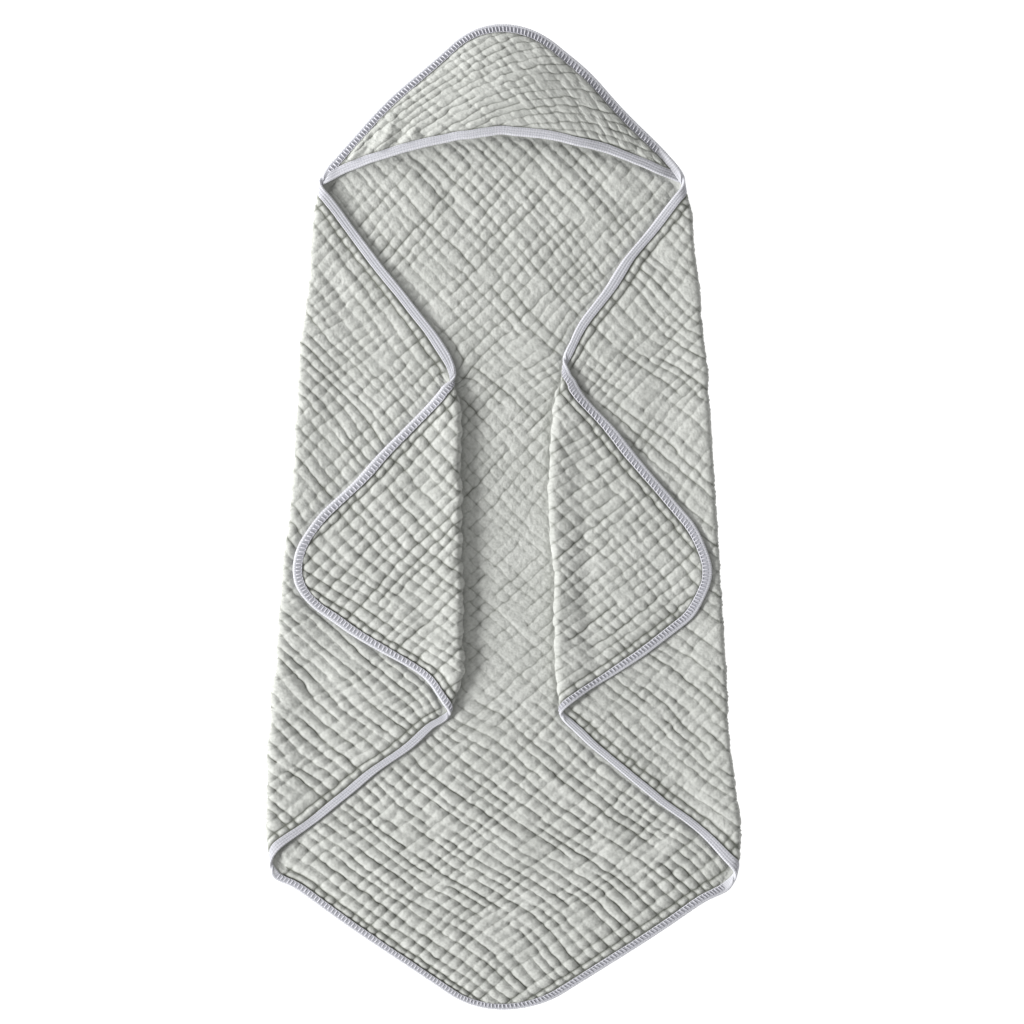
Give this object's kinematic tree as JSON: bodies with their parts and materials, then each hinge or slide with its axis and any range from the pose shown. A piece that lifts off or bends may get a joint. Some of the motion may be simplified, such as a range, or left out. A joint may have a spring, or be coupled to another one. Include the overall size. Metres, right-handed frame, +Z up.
{
  "type": "hooded towel",
  "caption": "Hooded baby towel of crinkled muslin with knit edge binding, laid flat as a diamond with both side corners folded in and back out.",
  "frame": {"origin": "on the surface that the towel lies on, under the middle of the laid towel", "axes": "+Y from the bottom corner to the hood corner, +Z up out of the surface, +X to the right as seen from above with the hood at the top"},
  "size_m": [0.4916, 1.0284, 0.012],
  "materials": {
    "muslin": "crinkled multi-layer cotton muslin, sage green, matt",
    "binding_tape": "folded cotton knit tape, pale lilac white, with coverstitching"
  },
  "bodies": {
    "root": {"towel_body": "muslin", "hood_panel": "muslin", "hood_binding": "binding_tape", "edge_binding": "binding_tape"}
  },
  "joints": []
}
